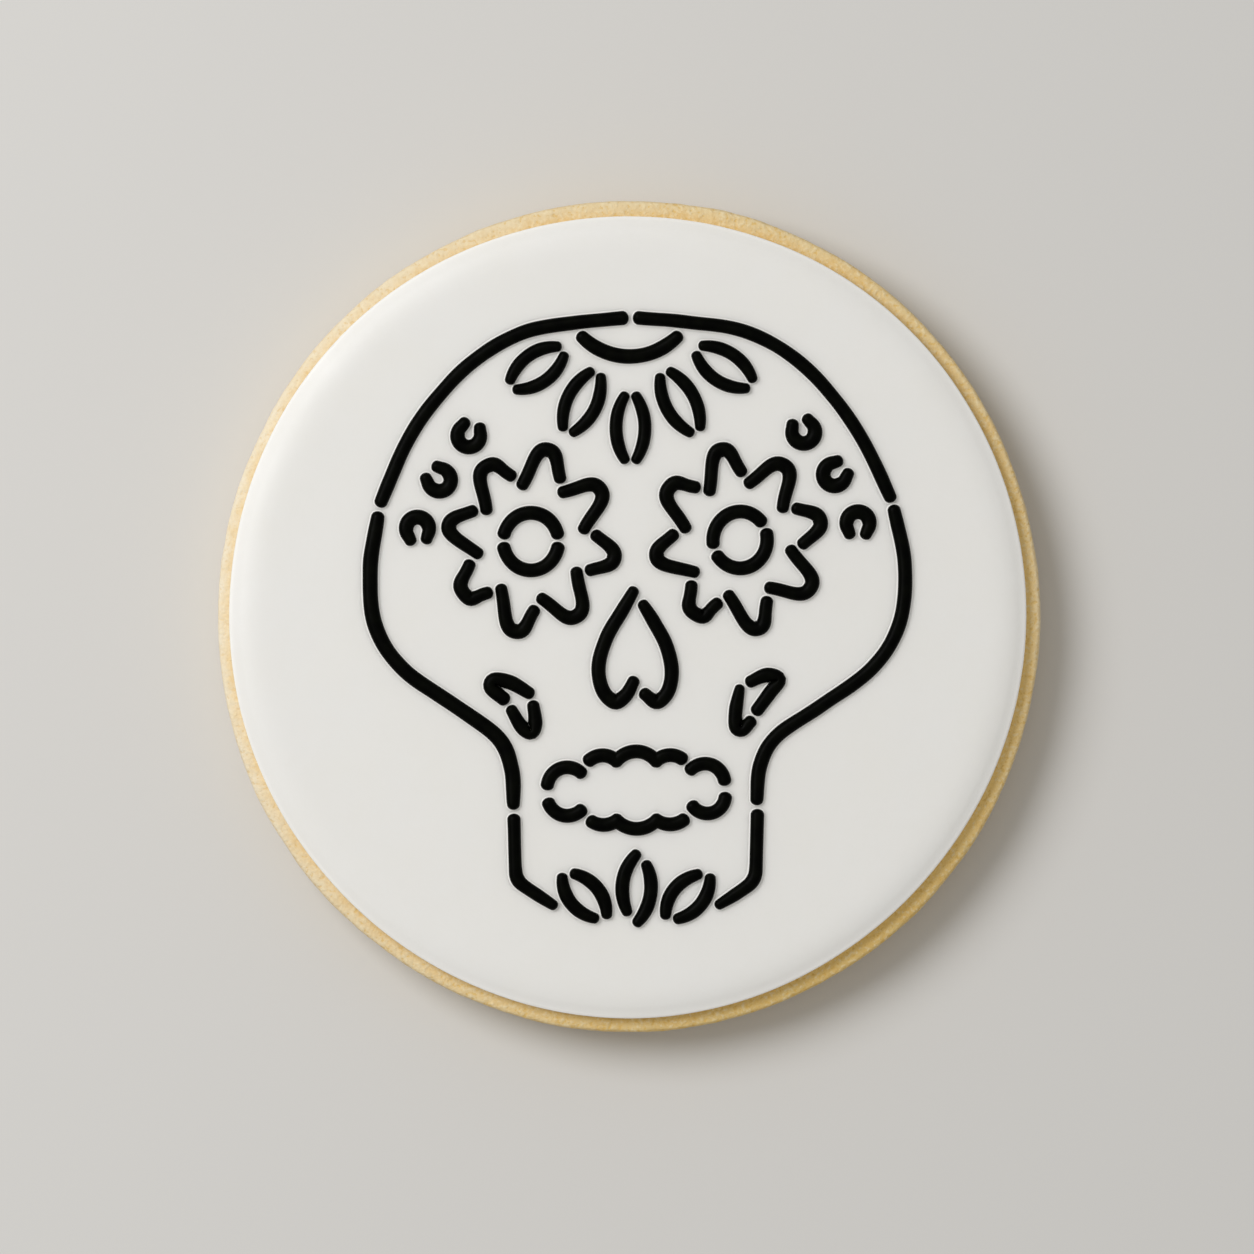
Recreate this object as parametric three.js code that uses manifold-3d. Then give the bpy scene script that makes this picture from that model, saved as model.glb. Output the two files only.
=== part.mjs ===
// A round rolled biscuit, flooded with white icing, with a skull piped on it in raised lines.
// Millimetres, +Z up, +Y towards the crown of the skull. The origin is the middle of the underside.
import * as THREE from 'three';
import { mergeVertices } from 'three/addons/utils/BufferGeometryUtils.js';
import Module from 'manifold-3d';

// The biscuit: a cut disc that spread a little in the oven, so that its rim is not quite round.
const biscuit = {
  radius: 40.25,
  thickness: 6.5,
  sides: 120,
  // The side from the foot up, as steps in from the widest line and shares of the thickness.
  side: [[0.9, 0], [0.315, 0.08], [0.03, 0.3], [0, 0.5], [0.01, 0.76], [0.05, 0.91], [0.13, 0.965],
    [0.28, 0.988], [0.6, 0.997], [1.5, 1]],
  lobes: [
    { count: 2, size: 0.22, towards: 83 },
    { count: 3, size: 0.03, towards: 62 },
    { count: 5, size: 0.03, towards: -13 },
  ],
};

// The flood icing: one poured disc, slightly off the middle of the biscuit.
const icing = {
  radius: 38.83,
  thickness: 2,
  sides: 112,
  centre: [-0.13, 0.05],
  // It leans out over its foot, then rolls over slowly into the level top.
  side: [[0.4, 0], [0.12, 0.16], [0, 0.45], [0.03, 0.64], [0.16, 0.69], [0.65, 0.76], [1.2, 0.86],
    [1.95, 0.94], [2.85, 0.985], [3.9, 1]],
  lobes: [
    { count: 2, size: 0.12, towards: 82 },
    { count: 3, size: 0.12, towards: 33 },
    { count: 5, size: 0.05, towards: -14 },
  ],
};

// The piped lines stand on the icing and are sunk into it far enough to be one piece with it.
const line = {
  height: 0.7,
  sunk: 0.4,
  slopeShare: 0.26,      // how much of the width each sloping side takes
  capSides: 4,           // facets round each end
  longStep: 2.6,         // spacing of the points on the long outlines
  shortStep: 0.85,       // spacing on the small motifs
};

// The drawing is measured from the middle of the icing. Angles run from +X towards +Y, in degrees.
const outlineWidths = [1.41, 1.36, 1.5, 1.41];
const outlines = [
  [[-0.6, 28.85], [-5, 28.43], [-10, 27.53], [-14.6, 25], [-18.35, 21.35], [-21.48, 16.8], [-23.88, 11.15]],
  [[1.15, 28.88], [6, 28.46], [11.3, 27.6], [15.9, 25.2], [19.8, 21.4], [22.9, 16.87], [25.42, 11.62]],
  [[-24.27, 9.4], [-25, 4.5], [-24.5, -1], [-21.8, -5.2], [-16.75, -8.75], [-12.55, -11.85], [-11.25, -14.9],
    [-11.1, -18.1]],
  [[25.87, 10.1], [26.88, 5], [26.45, -0.5], [23.8, -5], [18.8, -8.7], [14.4, -11.7], [12.85, -14.5],
    [12.55, -17.7]],
];
const jawWidth = 1.32;
const jaws = [
  { top: [-11.05, -19.85], corner: [-10.87, -25.72], end: [-7.4, -27.97], rounding: 0.8 },
  { top: [12.57, -19.4], corner: [12.43, -25.75], end: [9.03, -27.93], rounding: 1 },
];
const crescent = { from: [-4.32, 26.93], to: [4.68, 26.95], sag: 1.8, width: 1.42 };

// A leaf is two lines bowed apart like brackets. Its lean is the way it points.
const leaves = [
  { at: [-8.8, 24.03], lean: 35.5, length: 6.6, gape: 3, tipGap: 1.33, slip: 0, width: 1.27 },
  { at: [-4.45, 20.72], lean: 63.5, length: 6.95, gape: 2.9, tipGap: 1.33, slip: 0, width: 1.27 },
  { at: [0.26, 18.23], lean: 90, length: 7.13, gape: 2.84, tipGap: 1.29, slip: 0, width: 1.27 },
  { at: [5.08, 20.72], lean: -61.5, length: 7.05, gape: 2.9, tipGap: 1.33, slip: 0, width: 1.27 },
  { at: [9.37, 24.12], lean: -33.5, length: 6.75, gape: 3, tipGap: 1.33, slip: 0, width: 1.27 },
  { at: [-4.2, -27.2], lean: -51.5, length: 6.1, gape: 2.95, tipGap: 1.38, slip: 0.45, width: 1.33 },
  { at: [0.87, -26.45], lean: 81, length: 6.65, gape: 2.88, tipGap: 1.36, slip: 0.85, width: 1.33 },
  { at: [5.83, -27.25], lean: 51.5, length: 6.1, gape: 2.95, tipGap: 1.38, slip: -0.45, width: 1.33 },
];

// A dot is a ring left open on one side, its mouth, like a horseshoe.
const dotRadius = 1.18;
const dotWidth = 1.38;
const dotMouth = 54;     // half of the opening, degrees
const dotTail = 0.3;     // how far each end runs straight on
const dots = [
  { at: [-15.42, 17.45], mouth: 72 },
  { at: [-18.27, 13.18], mouth: 137 },
  { at: [-20.4, 8.45], mouth: -85 },
  { at: [17.07, 17.8], mouth: 109 },
  { at: [20.06, 13.7], mouth: 40 },
  { at: [22.33, 9], mouth: -91 },
];

// A flower is eight separate petals round a ring in two halves.
// Tips and valleys are given as an angle and a reach from the middle of the flower, a tip with its
// roundness too. In each valley one petal's foot stands nearer the middle: innerFirst says whether it
// is the next petal's.
const petalWidth = 1.32;
const petalBow = 0.4;    // how far each side of a petal bulges
const footStep = 0.54;   // how far one foot stands in front of the other
const footSpread = 4.8;  // degrees from the middle of the valley to each foot
const ringWidth = 1.33;
const ringOpening = 15.5; // half of each gap in the ring, degrees
const flowers = [
  {
    at: [-9.4, 7.2],
    ring: [2.7, 2.83],
    gaps: [1.5, 178.5],
    tips: [[121.2, 8.55, 1.4], [80, 9.15, 1.2], [37, 8.5, 1.35], [-11, 8.33, 0.9], [-58.3, 8.57, 1.4],
      [-100, 8.95, 1.2], [-142, 8.3, 1.4], [-190.5, 8.2, 0.9]],
    valleys: [[148.4, 5.9], [102.6, 6.2], [61, 6.3], [9.4, 5.9], [-30, 5.93], [-83.2, 6.25],
      [-125.9, 6.05], [-163.3, 5.9]],
    innerFirst: [true, true, true, false, true, false, false, true],
  },
  {
    at: [10.9, 7.34],
    ring: [2.64, 2.8],
    gaps: [26.5, 200.5],
    tips: [[144.2, 8.6, 1.4], [102, 9.05, 1.15], [59.5, 8.45, 1.4], [13.5, 8.1, 0.95], [-34.5, 8.33, 1.45],
      [-79.2, 8.85, 1.1], [-121, 8.45, 1.45], [-168.5, 8.35, 0.95]],
    valleys: [[171.4, 6.05], [126, 6.25], [84.8, 6.2], [33.1, 5.8], [-7.4, 5.65], [-62.2, 6.05],
      [-105.5, 6.1], [-141, 6]],
    innerFirst: [true, true, true, false, true, false, false, true],
  },
];

const noseWidth = 1.39;
const nose = [
  [[0.45, 2.2], [-0.7, 0.2], [-2.05, -2.1], [-2.84, -4.9], [-2.48, -7.2], [-1.25, -8.44], [-0.14, -7.7],
    [0.5, -6.5]],
  [[1.6, 0.9], [2.6, -0.7], [3.7, -2.8], [4.3, -5.2], [3.95, -7.3], [2.83, -8.43], [1.76, -7.67]],
];
const cheekWidth = 1.35;
const cheeks = [
  [[-12.1, -8], [-13.28, -7], [-12.97, -6.22], [-11.4, -6.47], [-9.72, -7.42]],
  [[-11.18, -9.3], [-10.25, -10.88], [-9.35, -11.36], [-8.95, -10.4], [-9.15, -8.87]],
  [[12.05, -6.35], [13.5, -5.72], [14.7, -6.2], [13.73, -7.55], [12.63, -9.07]],
  [[10.82, -7.3], [10.47, -9.2], [10.47, -10.8], [11.1, -11.1], [11.82, -10.35]],
];

// The mouth is a frill of short arcs. A rise is how far an arc stands out from its chord.
const mouthWidth = 1.33;
const mouth = [
  { from: [-3.7, -13.97], to: [-1.1, -14.05], rise: 0.5 },
  { from: [-1.1, -14.05], to: [2.75, -14.05], rise: 0.92 },
  { from: [2.75, -14.05], to: [5.2, -13.82], rise: 0.45 },
  { from: [-3.45, -20.03], to: [-1.05, -19.9], rise: -0.38 },
  { from: [-1.05, -19.9], to: [2.8, -19.85], rise: -0.85 },
  { from: [2.8, -19.85], to: [5.38, -19.87], rise: -0.42 },
  { from: [-7.8, -16.33], to: [-4.56, -15.18], rise: 1.03 },
  { from: [-7.67, -18.28], to: [-4.56, -18.95], rise: -0.82 },
  { from: [6.15, -14.88], to: [9.41, -15.88], rise: 1.02 },
  { from: [6.33, -18.56], to: [9.47, -17.72], rise: -1.08 },
];

const bakedDough = new THREE.MeshStandardMaterial({ color: 0xe6cb96, roughness: 0.85, metalness: 0 });
const setIcing = new THREE.MeshStandardMaterial({ color: 0xe9e8e3, roughness: 0.42, metalness: 0 });

const radians = THREE.MathUtils.degToRad;
const vector = ([x, y]) => new THREE.Vector2(x, y);
const polar = (at, reach, angle) => vector(at).add(
  new THREE.Vector2(Math.cos(radians(angle)), Math.sin(radians(angle))).multiplyScalar(reach),
);

// Radius of a nearly round edge at one angle.
function edgeRadius(shape, angle) {
  const swell = (lobe) => lobe.size * Math.cos(lobe.count * (angle - radians(lobe.towards)));
  return shape.lobes.reduce((radius, lobe) => radius + swell(lobe), shape.radius);
}

// A turned disc, pushed out of round.
function unevenDisc(shape) {
  const geometry = new THREE.LatheGeometry(discProfile(shape), shape.sides);
  geometry.rotateX(Math.PI / 2);
  const place = geometry.attributes.position;
  for (let i = 0; i < place.count; i += 1) {
    const angle = Math.atan2(place.getY(i), place.getX(i));
    const scale = edgeRadius(shape, angle) / shape.radius;
    place.setXY(i, place.getX(i) * scale, place.getY(i) * scale);
  }
  return welded(geometry);
}

function welded(geometry) {
  geometry.deleteAttribute('normal');
  geometry.deleteAttribute('uv');
  return mergeVertices(geometry, 1e-4);
}

// Half of a cut through a disc: flat below, out and up its side, and level on top.
function discProfile({ radius, thickness, side }) {
  const rim = side.map(([inwards, share]) => new THREE.Vector2(radius - inwards, thickness * share));
  return [new THREE.Vector2(0, 0), ...rim, new THREE.Vector2(0, thickness)];
}

// An arc from one point to another that stands out by the rise, on the left of the way.
function arcBetween(from, to, rise) {
  const start = vector(from);
  const way = vector(to).sub(start);
  const half = way.length() / 2;
  const radius = (half * half + rise * rise) / (2 * Math.abs(rise));
  const left = new THREE.Vector2(-way.y, way.x).normalize().multiplyScalar(Math.sign(rise));
  const centre = start.clone().addScaledVector(way, 0.5).addScaledVector(left, Math.abs(rise) - radius);
  const middle = left.angle();
  const reach = Math.asin(Math.min(1, half / radius)) * Math.sign(rise);
  return new THREE.EllipseCurve(centre.x, centre.y, radius, radius, middle + reach, middle - reach, rise > 0);
}

function splineThrough(points) {
  return new THREE.SplineCurve(points.map(vector));
}

// Two straight runs with a rounded corner between them.
function cornered({ top, corner, end, rounding }) {
  const turn = vector(corner);
  const before = turn.clone().add(vector(top).sub(turn).setLength(rounding));
  const after = turn.clone().add(vector(end).sub(turn).setLength(rounding));
  const path = new THREE.CurvePath();
  path.add(new THREE.LineCurve(vector(top), before));
  path.add(new THREE.QuadraticBezierCurve(before, turn, after));
  path.add(new THREE.LineCurve(after, vector(end)));
  return path;
}

function leafLines({ at, lean, length, gape, tipGap, slip, width }) {
  return [1, -1].map((side) => {
    const half = (length - width) / 2;
    const place = (along) => new THREE.Vector2(along + side * slip / 2, side * tipGap / 2)
      .rotateAround(new THREE.Vector2(), radians(lean))
      .add(vector(at))
      .toArray();
    return arcBetween(place(-half), place(half), side * (gape - tipGap) / 2);
  });
}

function dotLine({ at, mouth: opening }) {
  const open = radians(opening + dotMouth);
  const shut = radians(opening + 360 - dotMouth);
  const bend = new THREE.EllipseCurve(at[0], at[1], dotRadius, dotRadius, open, shut);
  const tail = polar([0, 0], dotTail, opening);
  const first = bend.getPoint(0);
  const last = bend.getPoint(1);
  const path = new THREE.CurvePath();
  path.add(new THREE.LineCurve(first.clone().add(tail), first));
  path.add(bend);
  path.add(new THREE.LineCurve(last, last.clone().add(tail)));
  return path;
}

// From one foot over the tip to the other foot, both sides bulging a little.
function petalLine(at, [angle, reach, roundness], feet) {
  const tip = polar(at, reach, angle);
  const outwards = polar([0, 0], petalBow, angle);
  const across = polar([0, 0], roundness, angle + 90);
  const bulge = (foot) => foot.clone().lerp(tip, 0.4).add(outwards);
  const path = new THREE.CurvePath();
  path.add(new THREE.CubicBezierCurve(feet[0], bulge(feet[0]), tip.clone().add(across), tip));
  path.add(new THREE.CubicBezierCurve(tip, tip.clone().sub(across), bulge(feet[1]), feet[1]));
  return path;
}

function flowerPetals({ at, tips, valleys, innerFirst }) {
  return tips.map((tip, i) => {
    const next = (i + 1) % tips.length;
    const foot = (valley, step, spread) => polar(at, valleys[valley][1] + step, valleys[valley][0] + spread);
    const feet = [
      foot(i, innerFirst[i] ? -footStep : footStep, -footSpread),
      foot(next, innerFirst[next] ? footStep : -footStep, footSpread),
    ];
    return petalLine(at, tip, feet);
  });
}

function eyeHalves({ at, ring, gaps }) {
  const half = (from, to) => new THREE.EllipseCurve(
    at[0], at[1], ring[0], ring[1],
    radians(from + ringOpening), radians(to - ringOpening),
  );
  return [half(gaps[0], gaps[1]), half(gaps[1], gaps[0] + 360)];
}

// The plan of a line: its path widened to both sides, with a round cap on each end.
function linePlan(path, width) {
  const half = width / 2;
  const count = path.length;
  const tangent = (i) => path[Math.min(i + 1, count - 1)].clone().sub(path[Math.max(i - 1, 0)]);
  const beside = (i, side) => {
    const way = tangent(i).setLength(half * side);
    return path[i].clone().add(new THREE.Vector2(-way.y, way.x));
  };
  // On the inside of a tight bend the widened points fall back into the line, and are left out.
  const clear = (point) => path.every((other) => other.distanceTo(point) > half * 0.97);
  const edge = (side) => path.map((_, i) => beside(i, side)).filter(clear);
  const cap = (i, towards) => {
    const start = tangent(i).angle() + towards;
    const turn = (k) => start - Math.PI * k / line.capSides;
    return [...Array(line.capSides - 1).keys()].map((k) => path[i].clone().add(
      new THREE.Vector2(Math.cos(turn(k + 1)), Math.sin(turn(k + 1))).multiplyScalar(half),
    ));
  };
  const right = edge(-1).reverse();
  return new THREE.Shape([
    ...edge(1), ...cap(count - 1, Math.PI / 2), ...right, ...cap(0, -Math.PI / 2),
  ].reverse());
}

// One raised line: its plan carried up through the icing and sloped in to a flat top.
function raisedLine(curve, width, step) {
  const path = curve.getSpacedPoints(Math.max(3, Math.ceil(curve.getLength() / step)));
  const slope = width * line.slopeShare;
  const geometry = new THREE.ExtrudeGeometry(linePlan(path, width), {
    depth: line.sunk,
    curveSegments: 1,
    bevelEnabled: true,
    bevelThickness: line.height,
    bevelSize: slope,
    bevelOffset: -slope,
    bevelSegments: 1,
  });
  geometry.translate(icing.centre[0], icing.centre[1], icing.thickness - line.sunk);
  return welded(geometry);
}

function pipedLines() {
  const { longStep, shortStep } = line;
  const piped = (curves, width, step) => curves.map((curve) => raisedLine(curve, width, step));
  return [
    ...outlines.map((points, i) => raisedLine(splineThrough(points), outlineWidths[i], longStep)),
    ...piped(jaws.map(cornered), jawWidth, shortStep),
    ...piped([arcBetween(crescent.from, crescent.to, -crescent.sag)], crescent.width, shortStep * 1.5),
    ...leaves.flatMap((leaf) => piped(leafLines(leaf), leaf.width, shortStep * 1.3)),
    ...piped(dots.map(dotLine), dotWidth, shortStep * 0.8),
    ...piped(flowers.flatMap(flowerPetals), petalWidth, shortStep),
    ...piped(flowers.flatMap(eyeHalves), ringWidth, shortStep),
    ...piped(nose.map(splineThrough), noseWidth, shortStep * 1.3),
    ...piped(cheeks.map(splineThrough), cheekWidth, shortStep * 0.8),
    ...piped(mouth.map(({ from, to, rise }) => arcBetween(from, to, rise)), mouthWidth, shortStep),
  ];
}

const solidLibrary = await Module();
solidLibrary.setup();

function solidFrom(geometry) {
  return new solidLibrary.Manifold(new solidLibrary.Mesh({
    numProp: 3,
    vertProperties: new Float32Array(geometry.attributes.position.array),
    triVerts: new Uint32Array(geometry.index.array),
  }));
}

function geometryFrom(solid) {
  const mesh = solid.getMesh();
  const geometry = new THREE.BufferGeometry();
  geometry.setAttribute('position', new THREE.BufferAttribute(mesh.vertProperties, 3));
  geometry.setIndex(new THREE.BufferAttribute(mesh.triVerts, 1));
  return geometry;
}

function icingSolid() {
  const disc = unevenDisc(icing);
  disc.translate(icing.centre[0], icing.centre[1], 0);
  return pipedLines().reduce((whole, piped) => whole.add(solidFrom(piped)), solidFrom(disc));
}

function namedMesh(name, geometry, material) {
  const mesh = new THREE.Mesh(geometry, material);
  mesh.name = name;
  return mesh;
}

const cookie = new THREE.Group();
cookie.add(namedMesh('biscuit', unevenDisc(biscuit), bakedDough));

const icingMesh = namedMesh('icing', geometryFrom(icingSolid()), setIcing);
icingMesh.position.z = biscuit.thickness;
cookie.add(icingMesh);

export default cookie;
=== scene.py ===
import math

import bpy
import numpy as np
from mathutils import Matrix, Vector, noise


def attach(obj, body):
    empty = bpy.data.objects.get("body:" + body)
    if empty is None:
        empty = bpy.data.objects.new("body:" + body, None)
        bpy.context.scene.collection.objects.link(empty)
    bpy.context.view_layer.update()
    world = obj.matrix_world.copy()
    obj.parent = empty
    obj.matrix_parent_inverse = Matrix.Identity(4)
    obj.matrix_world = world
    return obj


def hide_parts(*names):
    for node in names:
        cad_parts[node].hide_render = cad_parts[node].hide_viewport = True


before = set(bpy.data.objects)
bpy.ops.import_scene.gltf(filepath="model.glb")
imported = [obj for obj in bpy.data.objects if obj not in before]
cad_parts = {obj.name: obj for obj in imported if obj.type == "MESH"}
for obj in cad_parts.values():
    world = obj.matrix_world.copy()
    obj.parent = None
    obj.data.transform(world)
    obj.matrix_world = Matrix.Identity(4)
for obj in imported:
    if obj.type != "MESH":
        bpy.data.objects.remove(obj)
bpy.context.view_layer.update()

mm = 0.001
scene = bpy.context.scene
scene.view_settings.view_transform = "Standard"
print("frame loaded with", ", ".join(sorted(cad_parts)))


# camera, light and table top: lengths in mm, angles in degrees
studio = {
    "lookAt": (-0.2, -1.05, 8.5),   # the middle of the picture
    "cameraHeight": 1014,
    "lens": 300,
    "sensor": 36,
    "nearClip": 10,
    "keyAzimuth": 150,              # from +X towards +Y
    "keyElevation": 54,
    "keyDistance": 700,
    "keySize": 415,
    "keyPower": 3.1,
    "keyAim": (0, -280, 0),         # past the biscuit, so the light falls off less towards that side
    "keyColour": (1.0, 0.995, 0.985),
    "skyColour": (1.0, 0.985, 0.945),
    "skyStrength": 0.415,
    "floorColour": (0.70, 0.69, 0.675),
    "floorRoughness": 0.6,
    "floorShine": 0.2,
    "floorSize": 4000,
    "floorDrop": 0.02,              # keeps it clear of the underside
}


def placeOnSphere(azimuth, elevation, distance):
    flat = math.cos(math.radians(elevation)) * distance * mm
    return Vector((
        flat * math.cos(math.radians(azimuth)),
        flat * math.sin(math.radians(azimuth)),
        math.sin(math.radians(elevation)) * distance * mm,
    ))


def softBox(name, azimuth, elevation, distance, size, power, colour, aim):
    lamp = bpy.data.lights.new(name, "AREA")
    lamp.shape = "DISK"
    lamp.size = size * mm
    lamp.energy = power
    lamp.color = colour
    box = bpy.data.objects.new(name, lamp)
    box.location = placeOnSphere(azimuth, elevation, distance)
    box.rotation_euler = (Vector(aim) * mm - box.location).to_track_quat("-Z", "Y").to_euler()
    scene.collection.objects.link(box)


def buildStudio(s):
    camera = bpy.data.objects.new("camera", bpy.data.cameras.new("camera"))
    camera.data.lens = s["lens"]
    camera.data.sensor_width = s["sensor"]
    camera.data.clip_start = s["nearClip"] * mm
    x, y, z = s["lookAt"]
    camera.location = Vector((x, y, z + s["cameraHeight"])) * mm
    scene.collection.objects.link(camera)
    scene.camera = camera

    softBox("keyBox", s["keyAzimuth"], s["keyElevation"], s["keyDistance"], s["keySize"],
            s["keyPower"], s["keyColour"], s["keyAim"])

    world = bpy.data.worlds.new("softRoom")
    world.use_nodes = True
    sky = world.node_tree.nodes["Background"]
    sky.inputs["Color"].default_value = (*s["skyColour"], 1)
    sky.inputs["Strength"].default_value = s["skyStrength"]
    scene.world = world

    bpy.ops.mesh.primitive_plane_add(size=s["floorSize"] * mm)
    floor = bpy.context.object
    floor.name = "tableTop"
    floor.location.z = -s["floorDrop"] * mm
    paint = bpy.data.materials.new("paleTable")
    paint.use_nodes = True
    shader = paint.node_tree.nodes["Principled BSDF"]
    shader.inputs["Base Color"].default_value = (*s["floorColour"], 1)
    shader.inputs["Roughness"].default_value = s["floorRoughness"]
    shader.inputs["Specular IOR Level"].default_value = s["floorShine"]
    floor.data.materials.append(paint)


buildStudio(studio)
print("studio ready")


class Wire:
    # a socket that can be added, subtracted and multiplied like a number
    def __init__(self, finish, socket):
        self.finish = finish
        self.socket = socket

    def maths(self, operation, *others):
        return self.finish.add("ShaderNodeMath", {"operation": operation}, dict(enumerate(others)))

    def __add__(self, other):
        return self.maths("ADD", self, other)

    def __sub__(self, other):
        return self.maths("SUBTRACT", self, other)

    def __rsub__(self, other):
        return self.maths("SUBTRACT", other, self)

    def __mul__(self, other):
        return self.maths("MULTIPLY", self, other)

    def __abs__(self):
        return self.maths("ABSOLUTE", self)

    __radd__ = __add__
    __rmul__ = __mul__


noiseRange = (0.3, 0.7)     # most of a noise lies between these


class Finish:
    # one material; its noises are sized in mm on the object itself
    seedShift = (17.3, 9.1, 5.7)

    def __init__(self, name, **constants):
        self.material = bpy.data.materials.new(name)
        self.material.use_nodes = True
        self.tree = self.material.node_tree
        self.shader = self.tree.nodes["Principled BSDF"]
        for socket, value in constants.items():
            self.shader.inputs[socket.replace("_", " ")].default_value = value
        here = self.add("ShaderNodeTexCoord", out="Object")
        self.place = self.add("ShaderNodeVectorMath", {"operation": "SCALE"},
                              {"Vector": here, "Scale": 1 / mm})

    def add(self, kind, settings=None, values=None, out=0):
        node = self.tree.nodes.new(kind)
        for key, value in (settings or {}).items():
            setattr(node, key, value)
        for socket, value in (values or {}).items():
            self.feed(node.inputs[socket], value)
        return Wire(self, node.outputs[out])

    def feed(self, socket, value):
        if isinstance(value, Wire):
            self.tree.links.new(value.socket, socket)
        elif socket.type == "RGBA" and len(value) == 3:
            socket.default_value = (*value, 1)
        else:
            socket.default_value = value

    def noise(self, size, detail=2, roughness=0.5, seed=0):
        shift = tuple(seed * step for step in self.seedShift)
        moved = self.add("ShaderNodeVectorMath", {"operation": "ADD"}, {0: self.place, 1: shift})
        return self.add("ShaderNodeTexNoise", {"noise_dimensions": "3D"}, {
            "Vector": moved, "Scale": 1 / size, "Detail": detail, "Roughness": roughness,
        })

    def between(self, value, low, high, first=0, last=1):
        # a soft step from first at low to last at high
        return self.add("ShaderNodeMapRange", {"interpolation_type": "SMOOTHSTEP"}, {
            "Value": value, "From Min": low, "From Max": high, "To Min": first, "To Max": last,
        })

    def blend(self, mask, first, second):
        return self.add("ShaderNodeMix", {"data_type": "RGBA"}, {0: mask, 6: first, 7: second}, out=2)

    def axis(self, name):
        return self.add("ShaderNodeSeparateXYZ", None, {0: self.place}, out=name)

    def radius(self):
        level = self.add("ShaderNodeVectorMath", {"operation": "MULTIPLY"}, {0: self.place, 1: (1, 1, 0)})
        return self.add("ShaderNodeVectorMath", {"operation": "LENGTH"}, {0: level}, out="Value")

    def bump(self, height, depth):
        raised = self.add("ShaderNodeBump", None, {"Height": height, "Distance": depth * mm, "Strength": 1})
        self.feed(self.shader.inputs["Normal"], raised)

    def colour(self, value):
        self.feed(self.shader.inputs["Base Color"], value)

    def rough(self, value):
        self.feed(self.shader.inputs["Roughness"], value)


def edgeRadius(shape, angle):
    swell = [size * math.cos(count * (angle - math.radians(direction)))
             for count, size, direction in shape["lobes"]]
    return shape["radius"] + sum(swell)


def smoothRun(points, steps=12):
    # an even Catmull-Rom run through the points
    run = []
    ends = [points[0], *points, points[-1]]
    for before, start, end, after in zip(ends, ends[1:], ends[2:], ends[3:]):
        before, start, end, after = (np.array(p, float) for p in (before, start, end, after))
        leaving = (end - before) / 2
        arriving = (after - start) / 2
        for t in np.arange(steps) / steps:
            run.append((2 * start - 2 * end + leaving + arriving) * t ** 3
                       + (3 * end - 3 * start - 2 * leaving - arriving) * t ** 2
                       + leaving * t + start)
    run.append(np.array(points[-1], float))
    return np.array(run)


def respaced(path, step):
    length = np.concatenate([[0], np.cumsum(np.linalg.norm(np.diff(path, axis=0), axis=1))])
    count = max(4, int(math.ceil(length[-1] / step)))
    at = np.linspace(0, length[-1], count + 1)
    return np.stack([np.interp(at, length, path[:, k]) for k in range(path.shape[1])], axis=1)


def profileNormals(profile):
    way = np.gradient(profile, axis=0)
    out = np.stack([way[:, 1], -way[:, 0]], axis=1)
    return out / np.linalg.norm(out, axis=1, keepdims=True)


def bumps(at, rows):
    # each row is the depth, size and shift of one noise
    return sum(depth * noise.noise(at / size + Vector(shift)) for depth, size, shift in rows)


def turnedDisc(shape, profile, relief):
    # profile runs from near the axis below, out round the edge, to near the axis on top
    sides = shape["sides"]
    normals = profileNormals(profile)
    centreX, centreY = shape["centre"]
    points = [(centreX, centreY, profile[0][1])]
    for (r, z), (outR, outZ) in zip(profile, normals):
        for k in range(sides):
            angle = 2 * math.pi * k / sides
            reach = r * edgeRadius(shape, angle) / shape["radius"]
            at = Vector((reach * math.cos(angle), reach * math.sin(angle), z))
            push = relief(at, r)
            out = Vector((outR * math.cos(angle), outR * math.sin(angle), outZ))
            at += out * push
            points.append((at.x + centreX, at.y + centreY, at.z))
    points.append((centreX, centreY, profile[-1][1]))
    faces = []
    top = len(points) - 1
    last = 1 + (len(profile) - 1) * sides
    for k in range(sides):
        after = (k + 1) % sides
        faces.append((0, 1 + after, 1 + k))
        faces.append((top, last + k, last + after))
        for ring in range(len(profile) - 1):
            low = 1 + ring * sides
            high = low + sides
            faces.append((low + k, low + after, high + after, high + k))
    return points, faces


def makePiece(name, points, faces, finish, slotName, *nodes):
    mesh = bpy.data.meshes.new(name)
    mesh.from_pydata((np.array(points) * mm).tolist(), [], faces)
    mesh.polygons.foreach_set("use_smooth", [True] * len(mesh.polygons))
    mesh.materials.append(finish.material)
    mesh.update()
    piece = bpy.data.objects.new(name, mesh)
    scene.collection.objects.link(piece)
    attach(piece, "root")
    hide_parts(*nodes)
    print(name, "has", len(mesh.polygons), "faces")


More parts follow.
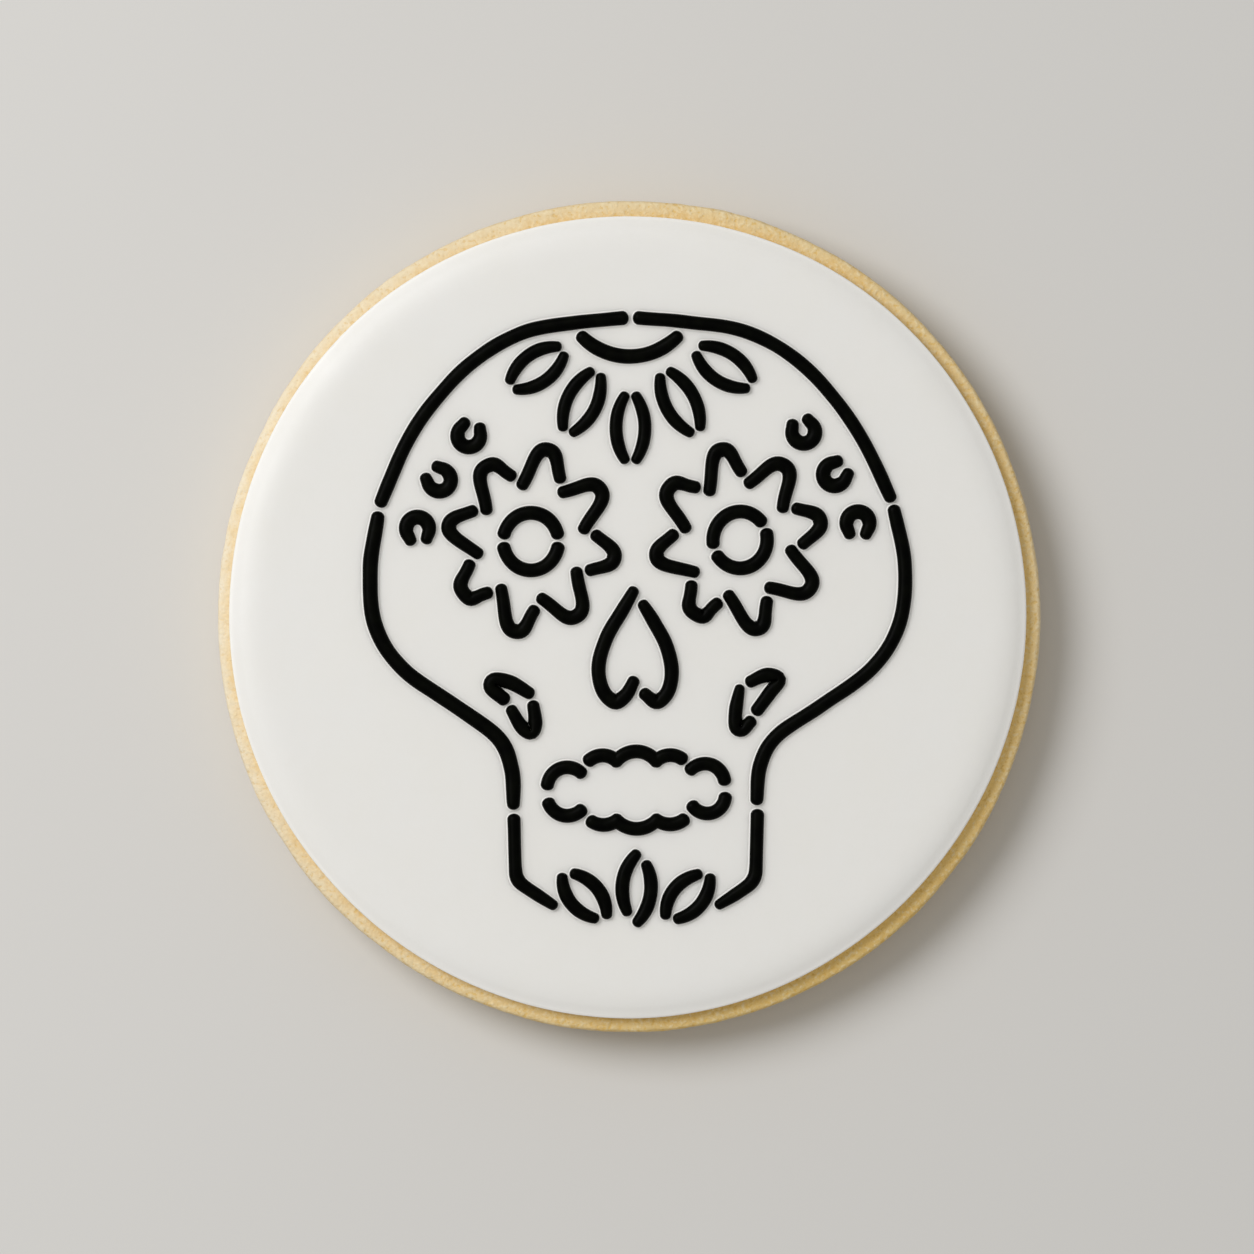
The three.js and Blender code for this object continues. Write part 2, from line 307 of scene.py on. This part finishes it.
# rolled sugar dough, cut round and baked pale gold
biscuit = {
    "radius": 40.25,
    "thickness": 6.5,
    "centre": (0, 0),
    "lobes": [(2, 0.22, 83), (3, 0.03, 62), (5, 0.03, -13)],   # out of round: count, size, direction
    "side": [(0.9, 0), (0.315, 0.08), (0.03, 0.3), (0, 0.5), (0.01, 0.76), (0.05, 0.91), (0.13, 0.965),
             (0.28, 0.988), (0.6, 0.997), (1.5, 1)],   # inwards from the widest line, share of the thickness
    "sides": 900,
    "sideStep": 0.12,
    "underRings": (1.5, 25),            # innermost one, count
    "shoulderRings": (0.3, 0.8, 2),     # inwards from the shoulder
    "topRings": (25, 8),
    "bumps": [(0.1, 7, (0, 0, 0)), (0.05, 2.2, (3, 7, 1)), (0.04, 0.7, (9, 2, 5))],
    "pitDepth": 0.09, "pitSize": 1.5, "pitReach": 0.3, "pitPower": 1.5, "pitShift": (4, 4, 8),
    "calmInside": (36, 2.5, 0.12),      # smoother from there inwards: radius, width of the change, least
    "paleCrust": (0.92, 0.83, 0.67),
    "goldCrust": (0.86, 0.66, 0.37),
    "tanCrust": (0.76, 0.545, 0.20),
    "deepCrust": (0.72, 0.415, 0.075),
    "speckCrust": (0.88, 0.74, 0.46),
    # pale crumbs, partly their own colour and partly a painted highlight on the raised crumb tops
    "paleCrumbAndHighlight": (0.93, 0.81, 0.55),
    "fleckCrust": (0.74, 0.47, 0.12),
    # painted light: a lighter, warmer crust laid beside the icing on the side away from the key light
    "paintedLightCrust": (1.0, 0.71, 0.25),
    "brownCrust": (0.52, 0.28, 0.09),
    "patchSize": 3.2, "spotSize": 0.9, "crumbSize": 0.4, "grainSize": 0.22,
    "darkeningMiddle": 0.22,                # how far the crust goes darker and more golden, as a share
    "darkeningSlope": (0.0075, -0.004),     # more for each mm along X and along Y
    "darkeningEnds": (0.0125, 0.0001),      # more for each mm from the X axis, and how that grows along X
    "rim": (40.1, 38.5),                # where the crust turns golden towards the icing
    "goldRange": (0.36, 1.0), "goldLess": 0.03,
    "footHeights": (2.2, 0.6), "footShare": 0.45,       # browner from the first height down
    "baseHeights": (0.35, 0.1), "baseShare": 0.4,
    "basePatches": (0.45, 0.85, 0.25, 0.75),            # of the noise, and of the brown
    "speckRange": (0.3, 0.75), "speckShare": 0.25,
    # painted light: its direction away from the key light, how far along it, how much
    "paintedLightSide": (0.82, -0.57), "paintedLightReach": (0, 34), "paintedLightShare": 0.75,
    "crumbHighlightRange": (0.54, 0.66), "crumbHighlightShare": 0.4,
    "fleckRange": (0.63, 0.52), "fleckShares": (0.3, 0.5),      # on pale dough, and more where the crust is darker
    "roughness": (0.72, 0.9),
    "grainDepth": 0.16,
}


def biscuitRelief(at, r):
    b = biscuit
    inside, width, least = b["calmInside"]
    near = noise.voronoi(at / b["pitSize"] + Vector(b["pitShift"]))[0][0]
    pit = b["pitDepth"] * max(0, 1 - near / b["pitReach"]) ** b["pitPower"]
    return (bumps(at, b["bumps"]) - pit) * min(1, max(least, (r - inside) / width))


def biscuitProfile():
    b = biscuit
    r, h = b["radius"], b["thickness"]
    side = respaced(smoothRun([(r - inset, h * share) for inset, share in b["side"]]), b["sideStep"])
    foot, shoulder = b["side"][0][0], b["side"][-1][0]
    inmost, count = b["underRings"]
    below = [(x, 0) for x in np.linspace(inmost, r - foot, count)[:-1]]
    above = [(r - shoulder - inset, h) for inset in b["shoulderRings"]] + [(x, h) for x in b["topRings"]]
    return np.concatenate([below, side, above])


def biscuitFinish():
    b = biscuit
    f = Finish("bakedSugarDough", Specular_IOR_Level=0.3)
    x, y, z = (f.axis(name) for name in "XYZ")
    patches = f.noise(b["patchSize"], detail=3, seed=1)
    spots = f.noise(b["spotSize"], detail=4, roughness=0.6, seed=2)
    grain = f.noise(b["grainSize"], detail=3, roughness=0.7, seed=3)
    crumbs = f.noise(b["crumbSize"], detail=2, seed=11)

    # darker and more golden towards +X, towards -Y and away from the X axis
    slopeX, slopeY = b["darkeningSlope"]
    ends, endsGrowth = b["darkeningEnds"]
    darkening = b["darkeningMiddle"] + x * slopeX + y * slopeY + abs(y) * (ends + x * endsGrowth)
    nearIcing = f.between(f.radius(), *b["rim"])
    golden = patches * 0.5 + spots * 0.6 + nearIcing * 0.3 - b["goldLess"]
    gold = f.between(golden, *b["goldRange"])
    pale = f.blend(darkening, b["paleCrust"], b["tanCrust"])
    deep = f.blend(darkening, b["goldCrust"], b["deepCrust"])
    crust = f.blend(gold, pale, deep)

    foot = f.between(z + spots * 1.6, *b["footHeights"])
    base = f.between(z, *b["baseHeights"]) * f.between(patches + spots * 0.4, *b["basePatches"])
    crust = f.blend(foot * b["footShare"] + base * b["baseShare"], crust, b["brownCrust"])
    crust = f.blend(f.between(grain, *b["speckRange"]) * b["speckShare"], crust, b["speckCrust"])

    # painted light: beside the icing, on the side away from the key light, the crust is painted lighter and
    # warmer where the icing's shade falls
    sideX, sideY = b["paintedLightSide"]
    paintedLight = nearIcing * f.between(x * sideX + y * sideY, *b["paintedLightReach"])
    crust = f.blend(paintedLight * b["paintedLightShare"], crust, b["paintedLightCrust"])
    # paler on the raised crumb tops: partly pale crumbs, partly a painted highlight
    crust = f.blend(f.between(crumbs, *b["crumbHighlightRange"]) * b["crumbHighlightShare"], crust, b["paleCrumbAndHighlight"])
    flecks = f.between(crumbs + spots * 0.4, *b["fleckRange"])
    onPale, more = b["fleckShares"]
    crust = f.blend(flecks * (onPale + darkening * more), crust, b["fleckCrust"])

    f.colour(crust)
    f.rough(f.between(spots, *noiseRange, *b["roughness"]))
    f.bump(grain * 0.4 + spots * 0.5 + crumbs * 0.8, b["grainDepth"])
    return f


points, faces = turnedDisc(biscuit, biscuitProfile(), biscuitRelief)
points = [(x, y, max(z, 0)) for x, y, z in points]      # flat where it rests
makePiece("biscuit-baked", points, faces, biscuitFinish(), "biscuit", "biscuit")


# flooded white, level on top, rolled over at the rim
icing = {
    "radius": 38.83,
    "thickness": 2.0,
    "centre": (-0.13, 0.05),
    "lobes": [(2, 0.12, 82), (3, 0.12, 33), (5, 0.05, -14)],
    "side": [(0.4, 0), (0.12, 0.16), (0.02, 0.36), (0, 0.5), (0.015, 0.61), (0.06, 0.665), (0.16, 0.69),
             (0.35, 0.71), (0.65, 0.76), (1.2, 0.86), (1.95, 0.94), (2.85, 0.985), (3.9, 1)],
    "footSunk": 0.1,                    # so it sits in the crust, not above it
    "sides": 720,
    "edgeStep": 0.1,
    "underRings": (10, 25, 35),
    "footGap": 0.05,
    "topRings": (4.5, 0.6, 0.8),        # outermost one from the edge, innermost radius, step
    "bumps": [(0.035, 9, (5, 1, 2)), (0.008, 2.4, (2, 8, 3))],
    "white": (0.873, 0.867, 0.850),
    "cream": (0.866, 0.857, 0.832), "creamRange": (0.3, 0.8),
    "paintedRimHighlight": (0.94, 0.925, 0.895),    # painted highlight: whiter low on the rolled rim
    "paintedHighlightHeights": (7.93, 7.84),         # all of it by the lower of these
    "cloudSize": 7, "fineSize": 0.35, "dimpleSize": 1.6,
    "roughness": (0.38, 0.47),
    "fineDepth": 0.006,
    "glow": 0.8, "glowReach": 0.75,     # light spreads a little inside the sugar
}
icingTop = biscuit["thickness"] + icing["thickness"]


def icingRelief(at, r):
    return bumps(at, icing["bumps"])


def icingProfile():
    i = icing
    r, base = i["radius"], biscuit["thickness"]
    rolled = [(r - inset, base + share * i["thickness"]) for inset, share in i["side"]]
    edge = respaced(smoothRun(rolled), i["edgeStep"])
    below = [(x, base - i["footSunk"]) for x in (*i["underRings"], edge[0][0] - i["footGap"])]
    outmost, inmost, step = i["topRings"]
    above = [(x, icingTop) for x in np.arange(r - outmost, inmost, -step)]
    return np.concatenate([below, edge, above])


def icingFinish(name, glow):
    i = icing
    f = Finish(name, Specular_IOR_Level=0.4, Subsurface_Weight=glow,
               Subsurface_Radius=(1, 1, 1), Subsurface_Scale=i["glowReach"] * mm)
    cloud = f.noise(i["cloudSize"], detail=2, seed=4)
    fine = f.noise(i["fineSize"], detail=3, roughness=0.6, seed=5)
    sugar = f.blend(f.between(cloud * 0.8 + fine * 0.3, *i["creamRange"]), i["white"], i["cream"])
    # painted highlight: the rim is painted whiter below the first of the highlight heights
    f.colour(f.blend(f.between(f.axis("Z"), *i["paintedHighlightHeights"]), sugar, i["paintedRimHighlight"]))
    f.rough(f.between(cloud, *noiseRange, *i["roughness"]))
    f.bump(fine + f.noise(i["dimpleSize"], seed=6) * 1.5, i["fineDepth"])
    return f


whiteIcing = icingFinish("setWhiteIcing", icing["glow"])
points, faces = turnedDisc(icing, icingProfile(), icingRelief)
makePiece("icing-flood", points, faces, whiteIcing, "icing", "icing")


# the drawing, in mm from the middle of the icing, angles in degrees from +X towards +Y
def polar(at, reach, angle):
    turn = math.radians(angle)
    return np.array([at[0] + reach * math.cos(turn), at[1] + reach * math.sin(turn)])


def arcRound(at, radiusX, radiusY, start, end, count=49):
    return np.array([
        (at[0] + radiusX * math.cos(math.radians(a)), at[1] + radiusY * math.sin(math.radians(a)))
        for a in np.linspace(start, end, count)
    ])


def arcBetween(start, end, rise, count=33):
    # a circular arc that stands out by the rise, on the left of the way
    start, end = np.array(start, float), np.array(end, float)
    way = end - start
    half = np.linalg.norm(way) / 2
    left = np.array([-way[1], way[0]]) / (2 * half) * np.sign(rise)
    radius = (half ** 2 + rise ** 2) / (2 * abs(rise))
    centre = (start + end) / 2 + left * (abs(rise) - radius)
    reach = math.asin(min(1, half / radius))
    middle = math.atan2(left[1], left[0])
    turn = np.linspace(reach, -reach, count) * np.sign(rise) + middle
    return centre + radius * np.stack([np.cos(turn), np.sin(turn)], axis=1)


def bezier(*controls, count=25):
    t = np.linspace(0, 1, count)[:, None]
    power = len(controls) - 1
    return sum(math.comb(power, k) * (1 - t) ** (power - k) * t ** k * np.array(c)
               for k, c in enumerate(controls))


def towards(start, end, distance):
    way = np.array(end, float) - start
    return start + way / np.linalg.norm(way) * distance


def cornered(top, corner, end, rounding):
    corner = np.array(corner, float)
    bend = bezier(towards(corner, top, rounding), corner, towards(corner, end, rounding))
    return np.concatenate([[top], bend, [end]])


outline = {
    "widths": (1.41, 1.36, 1.5, 1.41),
    "ends": ((1, 0.94), (1, 0.92), (0.88, 0.84), (0.92, 0.9)),     # share of the width at the two tips
    "jawWidth": 1.32,
    "jawEnds": (1, 0.8),
    "crown": [
        [(-0.6, 28.85), (-5, 28.43), (-10, 27.53), (-14.6, 25), (-18.35, 21.35), (-21.48, 16.8),
         (-23.88, 11.15)],
        [(1.15, 28.88), (6, 28.46), (11.3, 27.6), (15.9, 25.2), (19.8, 21.4), (22.9, 16.87), (25.42, 11.62)],
        [(-24.27, 9.4), (-25, 4.5), (-24.5, -1), (-21.8, -5.2), (-16.75, -8.75), (-12.55, -11.85),
         (-11.25, -14.9), (-11.1, -18.1)],
        [(25.87, 10.1), (26.88, 5), (26.45, -0.5), (23.8, -5), (18.8, -8.7), (14.4, -11.7),
         (12.85, -14.5), (12.55, -17.7)],
    ],
    "jaws": [                                                       # top, corner, end, rounding
        ((-11.05, -19.85), (-10.87, -25.72), (-7.4, -27.97), 0.8),
        ((12.57, -19.4), (12.43, -25.75), (9.03, -27.93), 1),
    ],
}


def outlineLines():
    o = outline
    crown = [(smoothRun(run), *shape) for run, *shape in zip(o["crown"], o["widths"], o["ends"])]
    return crown + [(cornered(*jaw), o["jawWidth"], o["jawEnds"]) for jaw in o["jaws"]]


leaf = {
    "foreheadWidth": 1.29,
    "chinWidth": 1.35,
    "ends": (0.81, 0.81),
    "crescent": ((-4.32, 26.93), (4.68, 26.95), -1.8),
    "crescentWidth": 1.45,
    "crescentEnds": (0.88, 0.88),
    # middle, lean, length, gape, gap at the tips, how far one side slips along the other
    "forehead": [
        ((-8.8, 24.03), 35.5, 6.6, 3, 1.33, 0),
        ((-4.45, 20.72), 63.5, 6.95, 2.9, 1.33, 0),
        ((0.26, 18.23), 90, 7.13, 2.84, 1.29, 0),
        ((5.08, 20.72), -61.5, 7.05, 2.9, 1.33, 0),
        ((9.37, 24.12), -33.5, 6.75, 3, 1.33, 0),
    ],
    "chin": [
        ((-4.2, -27.2), -51.5, 6.1, 2.95, 1.38, 0.45),
        ((0.87, -26.45), 81, 6.65, 2.88, 1.36, 0.85),
        ((5.83, -27.25), 51.5, 6.1, 2.95, 1.38, -0.45),
    ],
}


def leafLines(rows, width):
    lines = []
    for at, lean, length, gape, tipGap, slip in rows:
        half = (length - width) / 2
        for side in (1, -1):
            middle = polar(polar(at, side * slip / 2, lean), side * tipGap / 2, lean + 90)
            ends = polar(middle, -half, lean), polar(middle, half, lean)
            lines.append((arcBetween(*ends, side * (gape - tipGap) / 2), width, leaf["ends"]))
    return lines


dot = {
    "radius": 1.18,
    "width": 1.34,
    "ends": (0.9, 0.9),
    "halfMouth": 54,        # half the opening, degrees
    "tail": 0.3,            # each end runs on straight by so much
    "tailLean": 25,
    "rings": [              # middle, direction of the opening
        ((-15.42, 17.45), 72), ((-18.27, 13.18), 137), ((-20.4, 8.45), -85),
        ((17.07, 17.8), 109), ((20.06, 13.7), 40), ((22.33, 9), -91),
    ],
}


def dotLines():
    lines = []
    for at, mouth in dot["rings"]:
        bend = arcRound(at, dot["radius"], dot["radius"],
                        mouth + dot["halfMouth"], mouth + 360 - dot["halfMouth"])
        start = polar(bend[0], dot["tail"], mouth - dot["tailLean"])
        end = polar(bend[-1], dot["tail"], mouth + dot["tailLean"])
        lines.append((np.concatenate([[start], bend, [end]]), dot["width"], dot["ends"]))
    return lines


flower = {
    "width": 1.32,
    "ends": (0.94, 0.94),
    "bow": 0.4,
    "bulgeAt": 0.4,         # share of the way from the foot to the tip
    "footStep": 0.54,       # one foot stands farther out than its neighbour
    "footSpread": 4.8,
    "ringWidth": 1.33, "ringOpening": 15.5,
    "left": {
        "at": (-9.4, 7.2),
        "ring": (2.7, 2.83),
        "gaps": (1.5, 178.5),
        "tips": [(121.2, 8.55, 1.4), (80, 9.15, 1.2), (37, 8.5, 1.35), (-11, 8.33, 0.9), (-58.3, 8.57, 1.4),
                 (-100, 8.95, 1.2), (-142, 8.3, 1.4), (-190.5, 8.2, 0.9)],       # angle, reach, roundness
        "valleys": [(148.4, 5.9), (102.6, 6.2), (61, 6.3), (9.4, 5.9), (-30, 5.93), (-83.2, 6.25),
                    (-125.9, 6.05), (-163.3, 5.9)],
        "innerFirst": [1, 1, 1, 0, 1, 0, 0, 1],     # the next petal's foot is the inner one
    },
    "right": {
        "at": (10.9, 7.34),
        "ring": (2.64, 2.8),
        "gaps": (26.5, 200.5),
        "tips": [(144.2, 8.6, 1.4), (102, 9.05, 1.15), (59.5, 8.45, 1.4), (13.5, 8.1, 0.95),
                 (-34.5, 8.33, 1.45), (-79.2, 8.85, 1.1), (-121, 8.45, 1.45), (-168.5, 8.35, 0.95)],
        "valleys": [(171.4, 6.05), (126, 6.25), (84.8, 6.2), (33.1, 5.8), (-7.4, 5.65), (-62.2, 6.05),
                    (-105.5, 6.1), (-141, 6)],
        "innerFirst": [1, 1, 1, 0, 1, 0, 0, 1],
    },
}


def petalLine(at, tipAngle, tipReach, roundness, feet):
    tip = polar(at, tipReach, tipAngle)
    outwards = polar((0, 0), flower["bow"], tipAngle)
    across = polar((0, 0), roundness, tipAngle + 90)
    bulge = [foot + (tip - foot) * flower["bulgeAt"] + outwards for foot in feet]
    rise = bezier(feet[0], bulge[0], tip + across, tip)
    fall = bezier(tip, tip - across, bulge[1], feet[1])
    return np.concatenate([rise, fall[1:]])


def flowerLines(petals):
    at, tips, valleys, inner = petals["at"], petals["tips"], petals["valleys"], petals["innerFirst"]
    step, spread = flower["footStep"], flower["footSpread"]
    lines = []
    for i, tip in enumerate(tips):
        after = (i + 1) % len(tips)
        near, far = valleys[i], valleys[after]
        feet = (polar(at, near[1] + (-step if inner[i] else step), near[0] - spread),
                polar(at, far[1] + (step if inner[after] else -step), far[0] + spread))
        lines.append((petalLine(at, *tip, feet), flower["width"], flower["ends"]))
    first, second = petals["gaps"]
    opening = flower["ringOpening"]
    for start, end in ((first, second), (second, first + 360)):
        half = arcRound(at, *petals["ring"], start + opening, end - opening)
        lines.append((half, flower["ringWidth"]))
    return lines


face = {
    "noseWidth": 1.39,
    "noseEnds": (0.83, 0.9),
    "nose": [
        [(0.45, 2.2), (-0.7, 0.2), (-2.05, -2.1), (-2.84, -4.9), (-2.48, -7.2), (-1.25, -8.44), (-0.14, -7.7),
         (0.5, -6.5)],
        [(1.6, 0.9), (2.6, -0.7), (3.7, -2.8), (4.3, -5.2), (3.95, -7.3), (2.83, -8.43), (1.76, -7.67)],
    ],
    "cheekWidths": (1.45, 1.37, 1.39, 1.35),
    "cheekEnds": ((0.98, 0.85), (0.87, 0.89), (0.89, 0.95), (0.76, 0.95)),
    "cheeks": [
        [(-12.1, -8), (-13.28, -7), (-12.97, -6.22), (-11.4, -6.47), (-9.72, -7.42)],
        [(-11.18, -9.3), (-10.25, -10.88), (-9.35, -11.36), (-8.95, -10.4), (-9.15, -8.87)],
        [(12.05, -6.35), (13.5, -5.72), (14.7, -6.2), (13.73, -7.55), (12.63, -9.07)],
        [(10.82, -7.3), (10.47, -9.2), (10.47, -10.8), (11.1, -11.1), (11.82, -10.35)],
    ],
    "mouth": [                                      # from, to, rise, width
        ((-3.7, -13.97), (-1.1, -14.05), 0.5, 1.33),
        ((-1.1, -14.05), (2.75, -14.05), 0.92, 1.33),
        ((2.75, -14.05), (5.2, -13.82), 0.45, 1.33),
        ((-3.45, -20.03), (-1.05, -19.9), -0.38, 1.32),
        ((-1.05, -19.9), (2.8, -19.85), -0.85, 1.32),
        ((2.8, -19.85), (5.38, -19.87), -0.42, 1.32),
        ((-7.8, -16.33), (-4.56, -15.18), 1.03, 1.29),
        ((-7.67, -18.28), (-4.56, -18.95), -0.82, 1.29),
        ((6.15, -14.88), (9.41, -15.88), 1.02, 1.29),
        ((6.33, -18.56), (9.47, -17.72), -1.08, 1.29),
    ],
}

piping = {
    "height": 0.7,
    "sunk": 0.25,
    "bendFill": 0.19,       # mm of extra width on the inside of a bend that turns 1 radian in 1 mm
    "bendLimit": 1.2,
    "bendSmooth": 3,        # steps on each side
    "taperLength": 1.8, "taperPower": 0.7,
    "lipWidth": 0.13,       # the white icing stands up a little round each line
    "lipHeight": 0.2,
    "step": 0.2,
    "across": 15,
    "capRings": 7,
    "capReach": 0.84,       # how far an end stands out, share of half the width
    "capPower": 2.25,       # 2 is round, more is blunter
    "capLast": 0.992,       # the last ring stops just short of a point
    "flatness": 2.7,        # 2 is a half round, more is flatter on top
    "roomTries": (0.1, 1, 19), "roomShare": 0.985, "roomSlack": 0.004,
    "widthWander": 0.035,   # share of the width
    "heightWander": 0.05,
    "sideWander": 0.03,     # mm
    "wanderSize": 2.6,
    "wanderApart": 3.7,     # keeps the lines from waving alike
    "heightStretch": 1.6,   # the waves in the height are longer
    "black": (0.0005, 0.0006, 0.0003),
    "lightest": (0.0017, 0.0020, 0.0010), "lightestRange": (0.35, 0.7),
    "cloudSize": 1.4, "fineSize": 0.16,
    "roughness": (0.34, 0.46),
    "fineDepth": 0.012,
}


def lineNormals(path):
    way = np.gradient(path, axis=0)
    way /= np.linalg.norm(way, axis=1, keepdims=True)
    return way, np.stack([-way[:, 1], way[:, 0]], axis=1)


def bendFill(path, side):
    # the inside of a bend fills up with icing
    p = piping
    way = np.gradient(path, axis=0)
    heading = np.unwrap(np.arctan2(way[:, 1], way[:, 0]))
    turn = np.gradient(heading) / p["step"] * side
    window = 2 * p["bendSmooth"] + 1
    turn = np.convolve(np.pad(turn, p["bendSmooth"], "edge"), np.ones(window) / window, "valid")
    return p["bendFill"] * np.clip(turn, 0, p["bendLimit"])


def roomBeside(path, normals, side, half):
    # how far each point can widen before it meets the rest of its own line
    p = piping
    shares = np.linspace(*p["roomTries"])
    room = half * shares[0]
    free = np.ones(len(path), bool)
    for share in shares:
        reach = half * share
        moved = path + normals * side * reach[:, None]
        nearest = np.linalg.norm(moved[:, None] - path[None], axis=2).min(axis=1)
        free &= nearest > reach * p["roomShare"] - p["roomSlack"]
        room = np.where(free, reach, room)
    return room


def wander(path, size, seed):
    level = seed * piping["wanderApart"]
    return np.array([noise.noise(Vector((x / size, y / size, level))) for x, y in path])


def pipedLine(path, width, seed, ends=(1, 1), extra=0, height=None):
    # ends is the width at the two tips as a share, extra is a margin on both sides
    p = piping
    path = np.asarray(path, float)
    first, last = ends
    atStart, atEnd = ((1 - p["capReach"] * share) * width / 2 for share in ends)
    path = np.concatenate([[towards(path[0], path[1], -atStart)], path,
                           [towards(path[-1], path[-2], -atEnd)]])
    path = respaced(path, p["step"])
    way, normals = lineNormals(path)
    path = path + normals * (p["sideWander"] * wander(path, p["wanderSize"], seed))[:, None]
    along = np.clip(np.arange(len(path)) * p["step"] / p["taperLength"], 0, 1) ** p["taperPower"]
    taper = (first + (1 - first) * along) * (last + (1 - last) * along[::-1])
    wider = p["widthWander"] * wander(path, p["wanderSize"], seed + 40)
    lower = p["heightWander"] * (0.5 + wander(path, p["wanderSize"] * p["heightStretch"], seed + 80))
    half = width / 2 * taper * (1 + wider) + extra
    high = (height or p["height"]) * (1 - lower)
    room = {side: roomBeside(path, normals, side, half + bendFill(path, side)) for side in (1, -1)}

    turns = np.linspace(-math.pi / 2, math.pi / 2, p["across"])
    shares = np.sin(turns)

    def ring(i, beyond):
        # one loop of points: over the top from side to side, then two below
        narrow = (1 - beyond ** p["capPower"]) ** (1 / p["capPower"])
        centre = path[i] + way[i] * beyond * half[i] * p["capReach"] * (1 if i else -1)
        loop = []
        for share in shares:
            side = 1 if share > 0 else -1
            spot = centre + normals[i] * share * narrow * room[side][i]
            away = min(1, math.hypot(beyond, share * narrow))
            rise = high[i] * (1 - away ** p["flatness"]) ** 0.5
            loop.append((*spot, rise))
        return loop + [(x, y, -p["sunk"]) for x, y, rise in (loop[-1], loop[0])]

    capTurns = np.linspace(0, math.pi / 2, p["capRings"] + 1)[1:]
    beyonds = [min(p["capLast"], math.sin(t)) for t in capTurns]
    rings = [ring(0, b) for b in reversed(beyonds)]
    rings += [ring(i, 0) for i in range(len(path))]
    rings += [ring(len(path) - 1, b) for b in beyonds]
    return rings


def stackRings(rings, start):
    # a closed tube through the rings, its points counted from start
    size = len(rings[0])
    points = [point for ring in rings for point in ring]
    faces = [tuple(start + k for k in reversed(range(size)))]
    for r in range(len(rings) - 1):
        low = start + r * size
        for k in range(size):
            after = (k + 1) % size
            faces.append((low + k, low + after, low + size + after, low + size + k))
    faces.append(tuple(start + (len(rings) - 1) * size + k for k in range(size)))
    return points, faces


def stackLines(rows):
    points, faces = [], []
    for rings in rows:
        more, moreFaces = stackRings(rings, len(points))
        points += more
        faces += moreFaces
    x, y = icing["centre"]
    return [(px + x, py + y, pz + icingTop) for px, py, pz in points], faces


lips = []       # the white welt round each black line


def pipedPiece(name, lines, finish, seed):
    p = piping
    rows = [pipedLine(path, width, seed + k, *ends) for k, (path, width, *ends) in enumerate(lines)]
    makePiece(name, *stackLines(rows), finish, "piping", "icing")
    for k, (path, width, *ends) in enumerate(lines):
        lips.append(pipedLine(path, width, seed + k, *(ends or [(1, 1)]), p["lipWidth"], p["lipHeight"]))


def pipingFinish():
    p = piping
    f = Finish("blackIcing", Specular_IOR_Level=0.03)
    cloud = f.noise(p["cloudSize"], detail=3, seed=7)
    fine = f.noise(p["fineSize"], detail=3, roughness=0.6, seed=8)
    f.colour(f.blend(f.between(cloud, *p["lightestRange"]), p["black"], p["lightest"]))
    f.rough(f.between(fine, *noiseRange, *p["roughness"]))
    f.bump(fine + cloud * 1.2, p["fineDepth"])
    return f


def foreheadLines():
    crescent = (arcBetween(*leaf["crescent"]), leaf["crescentWidth"], leaf["crescentEnds"])
    return [crescent] + leafLines(leaf["forehead"], leaf["foreheadWidth"])


def noseLines():
    return [(smoothRun(run), face["noseWidth"], face["noseEnds"]) for run in face["nose"]]


def cheekLines():
    shapes = zip(face["cheeks"], face["cheekWidths"], face["cheekEnds"])
    return [(smoothRun(run), width, ends) for run, width, ends in shapes]


def mouthLines():
    return [(arcBetween(*arc), width) for *arc, width in face["mouth"]]


blackIcing = pipingFinish()
pipedPiece("piping-outline", outlineLines(), blackIcing, 1)
pipedPiece("piping-forehead", foreheadLines(), blackIcing, 20)
pipedPiece("piping-chin", leafLines(leaf["chin"], leaf["chinWidth"]), blackIcing, 40)
pipedPiece("piping-dots", dotLines(), blackIcing, 50)
pipedPiece("piping-flower-left", flowerLines(flower["left"]), blackIcing, 60)
pipedPiece("piping-flower-right", flowerLines(flower["right"]), blackIcing, 80)
pipedPiece("piping-nose", noseLines(), blackIcing, 100)
pipedPiece("piping-cheeks", cheekLines(), blackIcing, 110)
pipedPiece("piping-mouth", mouthLines(), blackIcing, 120)
makePiece("icing-lip", *stackLines(lips), icingFinish("whiteLip", 0), "icing", "icing")
print("piping done")
